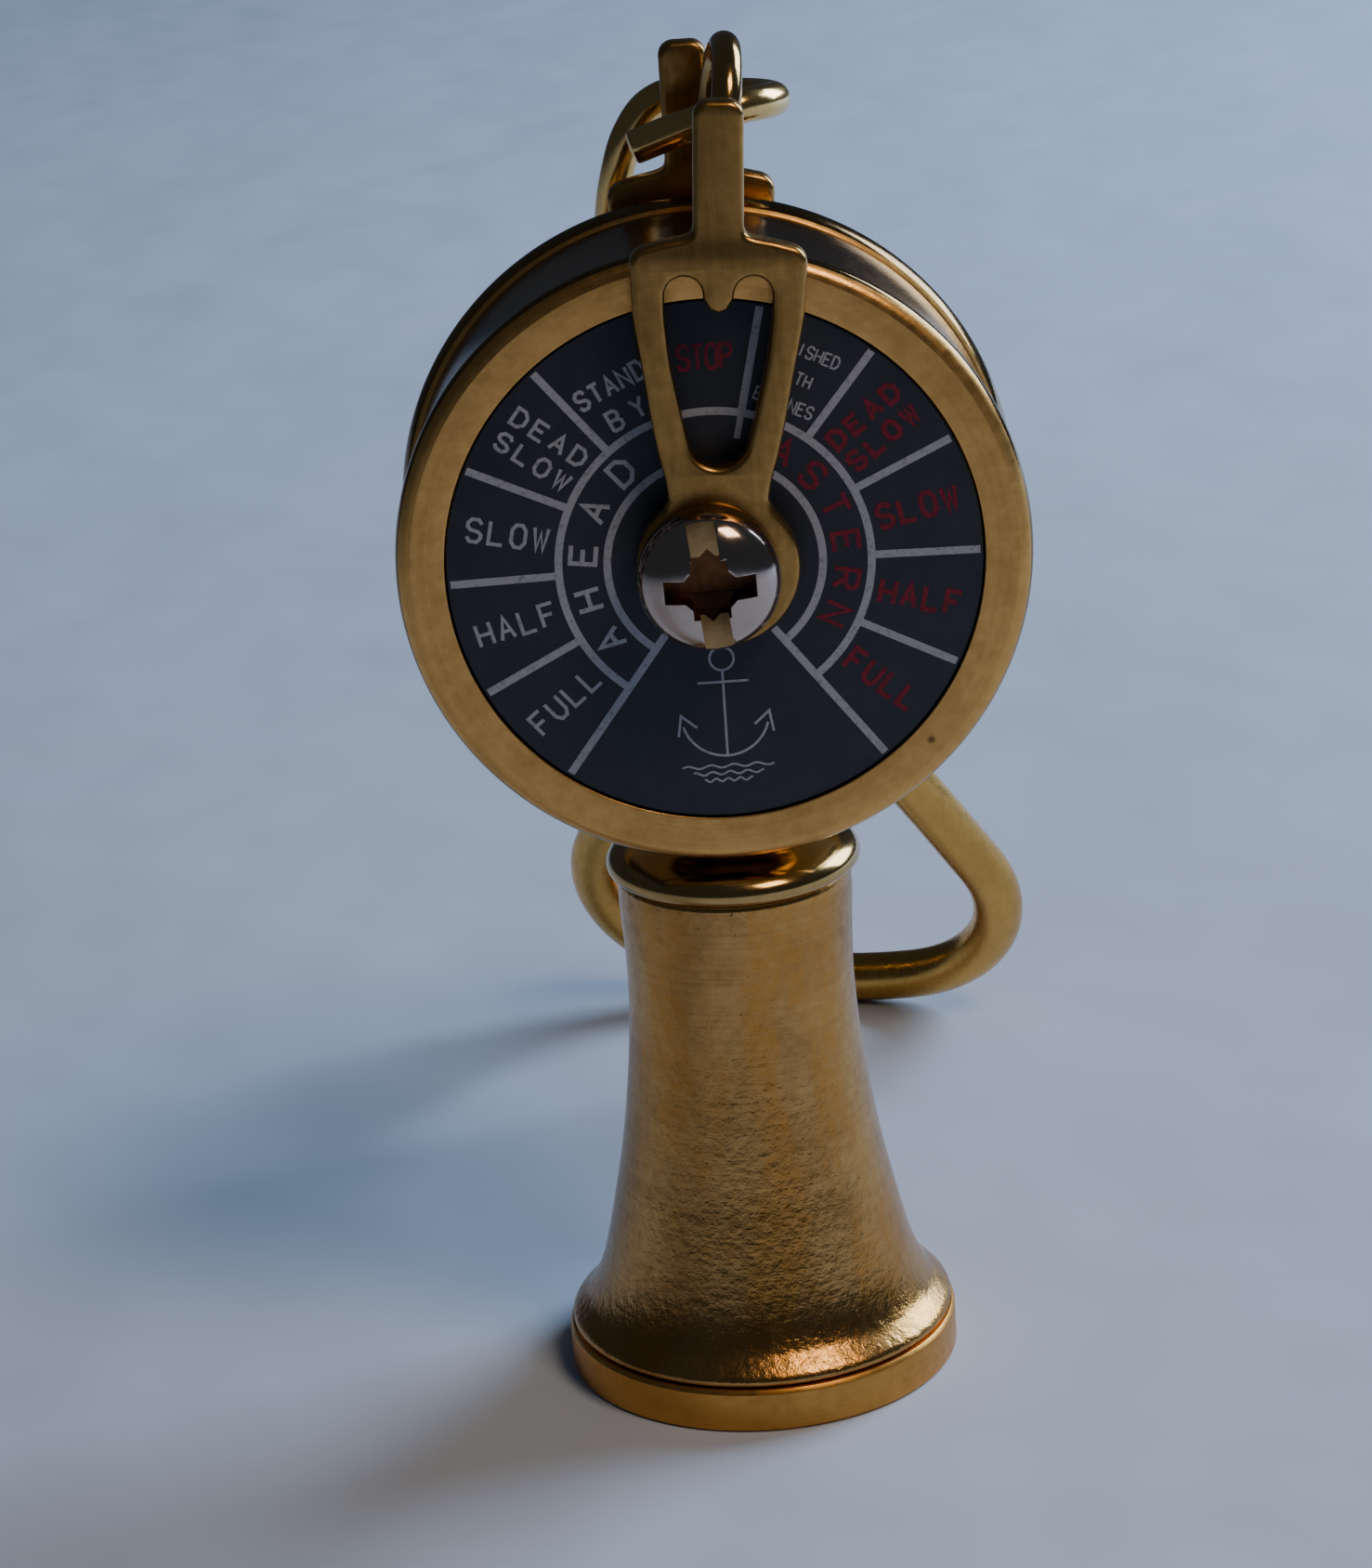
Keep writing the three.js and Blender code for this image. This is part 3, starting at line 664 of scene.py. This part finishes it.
def print_dial(side):
    """The sector lines, the orders and a small anchor, in white and red ink."""
    facing = -1 if side == "front" else 1

    def place(u, v, height):
        return (-facing * u, facing * (DIAL_FACE_Y + height), AXIS_HEIGHT + v)

    white, red = bmesh.new(), bmesh.new()
    outer = DIAL_RADIUS - 0.12
    ribbon(white, arc(0, 0, MIDDLE_ARC, 90 - LAST_LINE, 90 + LAST_LINE, 96), LINE_WIDTH, place, ARC_LIFT)
    for start, end in ((90 - LAST_LINE, 90 - ARC_GAP), (90 + ARC_GAP, 90 + LAST_LINE)):
        ribbon(white, arc(0, 0, INNER_ARC, start, end, 48), LINE_WIDTH, place, ARC_LIFT)
    for number in range(5):
        for sign in (-1, 1):
            angle = sign * (SECTOR / 2 + SECTOR * number)
            ribbon(white, [polar(MIDDLE_ARC, angle), polar(outer, angle)], LINE_WIDTH, place)
    for sign in (-1, 1):
        ends = [polar(INNER_ARC - 0.7, sign * LAST_LINE), polar(outer, sign * LAST_LINE)]
        ribbon(white, ends, LINE_WIDTH, place)
    ends = [polar(INNER_ARC + 0.9, SECTOR / 2), polar(MIDDLE_ARC, SECTOR / 2)]
    ribbon(white, ends, LINE_WIDTH * 0.8, place)
    orders = ["DEAD SLOW", "SLOW", "HALF", "FULL"]
    for number, order in enumerate(orders):
        angle = SECTOR * (number + 2)
        for bm, sign in ((white, -1), (red, 1)):
            along = polar(1, sign * angle) * sign
            up = Vector((-along.y, along.x))
            lines = order.split()
            size, width, gap = (0.72, 0.75, 0.55) if len(lines) == 2 else (0.94, 0.60, 0.36)
            pen = 0.15 if sign < 0 else 0.21
            for row, line in enumerate(lines):
                shift = up * (0.6 - 1.2 * row) if len(lines) == 2 else Vector((0, 0))
                middle = polar(ORDERS_RADIUS, sign * angle) + shift
                word(bm, line, middle, along, size, place, width, gap, pen)
    word(red, "STOP", Vector((0.1, 8.6)), Vector((1, 0)), 0.98, place, 0.44, 0.14)
    tangent = polar(1, 90 - SECTOR)
    word(white, "STAND", polar(8.55, -SECTOR), tangent, 0.75, place, 0.56, 0.3)
    word(white, "BY", polar(7.2, -SECTOR), tangent, 0.8, place, 0.6, 0.75)
    tangent = polar(1, 90 + SECTOR)
    for row, line in enumerate(["FINISHED", "WITH", "ENGINES"]):
        word(white, line, polar(9.5 - 1.15 * row, SECTOR), tangent, 0.5, place, 0.52, 0.22, 0.08)
    curved_word(white, "AHEAD", -124, -41, 1.02, place)
    curved_word(red, "ASTERN", 34, 118, 1.02, place)
    anchor(white, place)
    for colour, bm, material in (("white", white, WHITE_INK), ("red", red, RED_INK)):
        data = finished_mesh(f"{side}_{colour}_print", bm)
        make_object(f"{side}_{colour}_print", data, material, "stand")


def anchor(bm, place):
    """A plain anchor over three short waves, in thin lines, in the dial's lowest sector."""
    pen = 0.1
    ribbon(bm, arc(0, -4.1, 0.5, 90, 450, 20), pen, place)
    ribbon(bm, [(0, -4.6), (0, -8.3)], pen, place)
    ribbon(bm, [(-1.05, -5.1), (1.05, -5.1)], pen, place)
    ribbon(bm, arc(0, -6.5, 1.8, 195, 345, 24), pen, place)
    for sign in (-1, 1):
        tip = Vector((sign * 1.8 * math.cos(math.radians(15)), -6.5 - 1.8 * math.sin(math.radians(15))))
        barb = [tip + Vector((-sign * 0.55, -0.05)), tip + Vector((sign * 0.08, 0.5)),
                tip + Vector((sign * 0.22, -0.4))]
        ribbon(bm, barb, pen, place)
    steps = 24
    for row in range(3):
        half = 1.9 - 0.45 * row
        wave = [(-half + 2 * half * i / steps, -8.75 - 0.3 * row + 0.07 * math.sin(i * 1.05 + row))
                for i in range(steps + 1)]
        ribbon(bm, wave, pen * 0.8, place)


# ---------------------------------------------------------------- levers and screws

def lever_outline():
    """The lever's outside: a round hub, widening arms, shoulders and a round-ended stem on top."""
    edge = [*arc(0, 0.2, HUB_RADIUS, -90, 48, 30),
            *smooth_line([(2.02, 3.1), (2.12, 3.8), (2.42, 5.0), (2.72, 6.5), (2.98, 8.1), (3.4, 10.6),
                          (3.5, 12.4)], 4),
            *arc(2.76, 12.66, 0.76, 0, 72, 8),
            *smooth_line([(2.2, 13.6), (1.35, 13.78), (1.08, 13.94), (1.0, 14.3)], 4),
            *arc(0.36, LEVER_HEIGHT - 0.64, 0.64, 0, 90, 8)]
    return edge + [(-u, v) for u, v in reversed(edge[1:])]


def window_outline():
    """The opening between the arms, with two round tops and a small tooth between them."""
    right = smooth_line([(1.33, 6.0), (1.6, 7.2), (1.92, 8.8), (2.13, 10.6)], 4)
    tooth = [(0.6, 11.3), (0.34, 10.86), (0, 10.72), (-0.34, 10.86), (-0.6, 11.3)]
    return [*arc(0, 5.6, 1.2, -165, -15, 20), *right, *arc(1.38, 11.45, 0.76, 0, 180, 14), *tooth,
            *arc(-1.38, 11.45, 0.76, 0, 180, 14), *[(-u, v) for u, v in reversed(right)]]


def plate(name, outlines, thickness, edge):
    """A flat plate with holes and rounded edges, lying in XY, made by filling curves."""
    curve = bpy.data.curves.new(name, "CURVE")
    curve.dimensions = "2D"
    curve.fill_mode = "BOTH"
    curve.extrude = (thickness / 2 - edge) * MM
    curve.bevel_depth = edge * MM
    curve.bevel_resolution = 3
    curve.offset = -edge * MM
    for outline in outlines:
        spline = curve.splines.new("POLY")
        spline.points.add(len(outline) - 1)
        for point, (u, v) in zip(spline.points, outline):
            point.co = (u * MM, v * MM, 0, 1)
        spline.use_cyclic_u = True
    holder = bpy.data.objects.new(name, curve)
    bpy.context.scene.collection.objects.link(holder)
    evaluated = holder.evaluated_get(bpy.context.evaluated_depsgraph_get())
    bm = bmesh.new()
    bm.from_mesh(evaluated.to_mesh())
    bmesh.ops.scale(bm, vec=(1 / MM,) * 3, verts=bm.verts)
    bpy.data.objects.remove(holder)
    return bm


def levers():
    """The two fork-shaped levers; only the front one leans."""
    outlines = [lever_outline(), window_outline(), arc(0, 0, LEVER_HOLE, 0, 352.5, 47)]
    middle = LEVER_INNER_Y + LEVER_THICKNESS / 2
    for side, facing, lean in (("front", -1, FRONT_LEVER_LEAN), ("rear", 1, 0)):
        bm = plate(f"{side}_plate", outlines, LEVER_THICKNESS, LEVER_EDGE)
        # Stands the plate up with its length along +Z, then leans it about the drum's axis.
        matrix = (Matrix.Translation((LEVER_OFFSET_X, facing * middle, AXIS_HEIGHT))
                  @ Matrix.Rotation(math.radians(lean), 4, "Y") @ Matrix.Rotation(math.radians(90), 4, "X"))
        bmesh.ops.transform(bm, matrix=matrix, verts=bm.verts)
        data = finished_mesh(f"{side}_lever", bm, 50)
        make_object(f"{side}_lever", data, SHADED_LEVER_BRASS, "levers", [f"handle_{side}"])


def screws():
    """Pan heads set a little off their shanks, each with a long slot and a deeper cross recess."""
    base = LEVER_INNER_Y + LEVER_THICKNESS + 0.02
    crown = smooth_line([(SCREW_HEAD_RADIUS, base + 1.25), (2.76, base + 1.64), (2.43, base + 2.04),
                         (1.85, base + 2.39), (1.0, base + 2.63), (0, base + 2.7)], 5)
    profile = [(0, base), (2.74, base), (2.84, base + 0.06), (SCREW_HEAD_RADIUS, base + 0.2), *crown]
    shank_start, shank_end = 2.6, base + 0.6
    shank = [(0, shank_start), (SCREW_SHANK_RADIUS, shank_start), (SCREW_SHANK_RADIUS, shank_end),
             (0, shank_end)]
    shift_x, shift_z = SCREW_HEAD_SHIFT
    depth = 3
    # Width, height, floor above the head's base, turn, and which lining the cut gets.
    cuts = [(1.15, 7, 1.8, SLOT_TILT, 1), (3.7, 0.95, 1.15, RECESS_TILT, 2),
            (1.5, 2.4, 1.2, RECESS_TILT, 2), (2.15, 2.15, 1.25, RECESS_TILT + 45, 2)]
    for side, place, facing in (("front", TO_FRONT, -1), ("rear", TO_REAR, 1)):
        data = finished_mesh(f"{side}_screw_shank", lathe(shank, place, 48))
        make_object(f"{side}_screw_shank", data, SCREW, "levers")
        head_place = Matrix.Translation((shift_x, 0, shift_z)) @ place
        data = finished_mesh(f"{side}_hub_screw", lathe(profile, head_place, 96))
        head = make_object(f"{side}_hub_screw", data, SCREW, "levers", [f"{side}_screw"])
        data.materials.append(SLOT_FLOOR)
        data.materials.append(RECESS)
        for width, height, floor, turn, lining in cuts:
            centre = (shift_x, facing * (base + floor + depth / 2), AXIS_HEIGHT + shift_z)
            cut(head, block(width, depth, height, centre, turn), lining)
        soften_edges(head, 0.06)


# ---------------------------------------------------------------- wire pieces

# The chain starts at the low point of the open link's eye and ends at the key ring's apex.
CHAIN_START = Vector((-1.6, 17.2, 34.4))
RING_APEX = Vector((1.807, 29.508, 19.801))
CHAIN_RUN = (RING_APEX - CHAIN_START).normalized()
CHAIN_LENGTH = 12.3
CHAIN_HALF_WIDTH = 2.0
WIRE_GAP = 0.1


def open_link():
    """The wire that hooks through the small ring, runs down behind the drum and ends in an eye."""
    radius = 1.75
    up_the_chain = Vector((0, -CHAIN_RUN.y, -CHAIN_RUN.z)).normalized()
    centre = CHAIN_START + up_the_chain * radius
    eye = []
    for number in range(11):
        a = math.radians(170 + 29 * number)
        eye.append((CHAIN_START.x, centre.y + math.cos(a) * radius, centre.z + math.sin(a) * radius))
    route = [(-2.3, 3.0, 53.26), (-1.0, 3.0, 53.7), (0.31, 3.0, 54.13), (1.4, 3.0, 54.46),
             (2.3, 3.25, 54.66), (3.25, 4.1, 54.6), (3.78, 5.6, 54.4), (3.35, 7.4, 54.2), (2.3, 8.3, 54.15),
             (0.9, 8.45, 54.35), (-0.4, 8.4, 54.35), (-1.5, 8.4, 53.85), (-2.36, 8.45, 52.7),
             (-2.9, 8.7, 51.2), (-3.3, 9.3, 49.2), (-3.4, 10.4, 46.0), (-3.0, 12.0, 42.6),
             (-2.2, 13.6, 39.6)]
    data = finished_mesh("open_link_wire", sweep(smooth_line(route + eye, 6), LINK_WIRE))
    make_object("open_link_wire", data, WIRE, "open_link", ["hook_link"])


def small_ring():
    """The small ring between the levers' stems, cut through at its lowest point."""
    radius = 2.88
    steps = 96
    turn = (2 * math.pi - WIRE_GAP / radius) / steps
    angles = [-math.pi / 2 + turn * i for i in range(steps + 1)]
    points = [(0, math.cos(a) * radius, math.sin(a) * radius) for a in angles]
    bm = sweep(points, SMALL_RING_WIRE)
    matrix = (Matrix.Translation((1.35, 1.7, 54.6)) @ Matrix.Rotation(math.radians(9.5), 4, "Y")
              @ Matrix.Rotation(math.radians(3), 4, "Z"))
    bmesh.ops.transform(bm, matrix=matrix, verts=bm.verts)
    data = finished_mesh("small_ring_wire", bm)
    make_object("small_ring_wire", data, SHADED_WIRE, "small_ring", ["jump_ring"])


def chain_links():
    """Two long links on one straight line, the second a quarter turn round from the first."""
    # In radians, and nearly the key ring's own yaw.
    yaw = -0.273
    side = Vector((math.cos(yaw), math.sin(yaw), 0))
    side = (side - CHAIN_RUN * side.dot(CHAIN_RUN)).normalized()
    normal = CHAIN_RUN.cross(side).normalized()
    straight = CHAIN_LENGTH - 2 * CHAIN_HALF_WIDTH
    half = CHAIN_HALF_WIDTH
    outline = [(half, -WIRE_GAP / 2), (half, -straight / 4), *arc(0, -straight / 2, half, 0, -180, 24),
               (-half, -straight / 4), (-half, 0), (-half, straight / 4),
               *arc(0, straight / 2, half, 180, 0, 24), (half, straight / 4), (half, WIRE_GAP / 2)]
    first_top = -(LINK_WIRE + RING_WIRE + WIRE_GAP)
    second_top = first_top + CHAIN_LENGTH - (2 * RING_WIRE + WIRE_GAP)
    for name, body, top, across in (("chain_link_a", "upper_chain", first_top, side),
                                    ("chain_link_b", "lower_chain", second_top, normal)):
        centre = CHAIN_START + CHAIN_RUN * (top + CHAIN_LENGTH / 2)
        points = [centre + across * u - CHAIN_RUN * v for u, v in outline]
        data = finished_mesh(f"{name}_wire", sweep(smooth_line(points, 3), RING_WIRE))
        make_object(f"{name}_wire", data, WIRE, body, [name])


def fillet(before, corner, after, radius, steps):
    """A round corner of a path, as points."""
    to_before, to_after = (before - corner).normalized(), (after - corner).normalized()
    half = to_before.angle(to_after) / 2
    centre = corner + (to_before + to_after).normalized() * radius / math.sin(half)
    start = corner + to_before * radius / math.tan(half) - centre
    end = corner + to_after * radius / math.tan(half) - centre
    turn = start.angle_signed(end)
    return [centre + Matrix.Rotation(-turn * i / steps, 2) @ start for i in range(steps + 1)]


def key_ring():
    """The rounded triangular key ring: drawn flat, rolled in its own plane, then leaned and turned to
    stand on the floor."""
    width, height, corner, sag = 26.93, 26.08, 6.62, 3.76
    yaw, lean, roll = (math.radians(a) for a in (-15.65, 60.75, -3.54))
    place_x, place_y = 3.05, 33.8
    right, top, left, base = (Vector(p) for p in ((width / 2, 0), (0, height), (-width / 2, 0), (0, -sag)))
    steps = 14
    apex_arc = fillet(right, top, left, corner, steps)
    left_arc = fillet(top, left, base, corner, steps)
    right_arc = fillet(base, right, top, corner, steps)
    seam = apex_arc[-1].lerp(left_arc[0], 0.5)
    step = (left_arc[0] - apex_arc[-1]).normalized() * WIRE_GAP / 2
    first, last = left_arc[-1], right_arc[0]
    shares = [i / steps for i in range(1, steps)]
    bow = [first * (1 - t) ** 2 + base * (2 * t * (1 - t)) + last * t ** 2 for t in shares]
    outline = [seam + step, *left_arc, *bow, *right_arc, *apex_arc, seam - step]
    points = []
    for point in outline:
        flat = Matrix.Rotation(roll, 2) @ Vector((point.x, point.y - height * 0.35))
        points.append(Vector((
            math.cos(yaw) * flat.x + math.sin(yaw) * math.cos(lean) * flat.y + place_x,
            math.sin(yaw) * flat.x - math.cos(yaw) * math.cos(lean) * flat.y + place_y,
            math.sin(lean) * flat.y)))
    lift = KEY_RING_WIRE - min(p.z for p in points)
    points = [p + Vector((0, 0, lift)) for p in points]
    data = finished_mesh("key_ring_wire", sweep(smooth_line(points, 2), KEY_RING_WIRE, 32))
    make_object("key_ring_wire", data, KEY_RING, "split_ring", ["key_ring"])


def inner_pieces():
    """The CAD pieces that stay as they are, given their metals."""
    metals = {"neck_stud": STEEL, "spindle": SHADED_LEVER_BRASS, "front_spacer": FOOT, "rear_spacer": FOOT}
    for name, material in metals.items():
        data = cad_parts[name].data
        data.materials.clear()
        data.materials.append(material)


# ---------------------------------------------------------------- camera, floor and light

CAMERA_PLACE = (-1.797, -185.62, 92.86)
CAMERA_FORWARD = (0, 0.94164, -0.33663)
CAMERA_RIGHT = (0.99765, -0.02305, -0.06449)
CAMERA_LENS = 106.64
LIGHTS_TARGET = (0, 0, 25)


def camera():
    """The camera at the photo's view."""
    data = bpy.data.cameras.new("camera")
    data.lens = CAMERA_LENS
    data.sensor_width = 36
    data.clip_start = 0.01
    made = bpy.data.objects.new("camera", data)
    bpy.context.scene.collection.objects.link(made)
    x, y, z = CAMERA_PLACE
    forward = Vector(CAMERA_FORWARD)
    right = Vector(CAMERA_RIGHT).normalized()
    up = right.cross(forward).normalized()
    right = forward.cross(up).normalized()
    made.matrix_world = Matrix((
        (right.x, up.x, -forward.x, x * MM),
        (right.y, up.y, -forward.y, y * MM),
        (right.z, up.z, -forward.z, z * MM),
        (0, 0, 0, 1)))
    bpy.context.scene.camera = made


def area_light(name, place, size, power, colour):
    """A soft rectangular light that faces the object's lower middle; power in watts."""
    data = bpy.data.lights.new(name, "AREA")
    data.shape = "RECTANGLE"
    data.size, data.size_y = size[0] * MM, size[1] * MM
    data.energy = power
    data.color = colour
    made = bpy.data.objects.new(name, data)
    bpy.context.scene.collection.objects.link(made)
    made.location = Vector(place) * MM
    towards = Vector(LIGHTS_TARGET) - Vector(place)
    made.rotation_euler = towards.to_track_quat("-Z", "Y").to_euler()


def surroundings():
    """The floor, a small warm lamp, a large cool window and a faint blue sky."""
    bpy.ops.mesh.primitive_plane_add(size=6)
    floor = bpy.context.object
    floor.name = "floor"
    floor.data.materials.append(floor_cloth("floor_cloth"))
    area_light("warm_lamp", (178, -187, 369), (140, 140), 0.60, (1.0, 0.76, 0.52))
    area_light("window", (420, 290, 270), (320, 280), 3.5, (0.64, 0.80, 1.0))
    world = bpy.data.worlds.new("world")
    world.use_nodes = True
    bpy.context.scene.world = world
    background = world.node_tree.nodes["Background"]
    background.inputs[0].default_value = (0.62, 0.76, 1.0, 1)
    background.inputs[1].default_value = 0.05


camera()
foot()
pedestal()
collar()
drum()
print_dial("front")
print_dial("rear")
levers()
screws()
open_link()
small_ring()
chain_links()
key_ring()
inner_pieces()
surroundings()
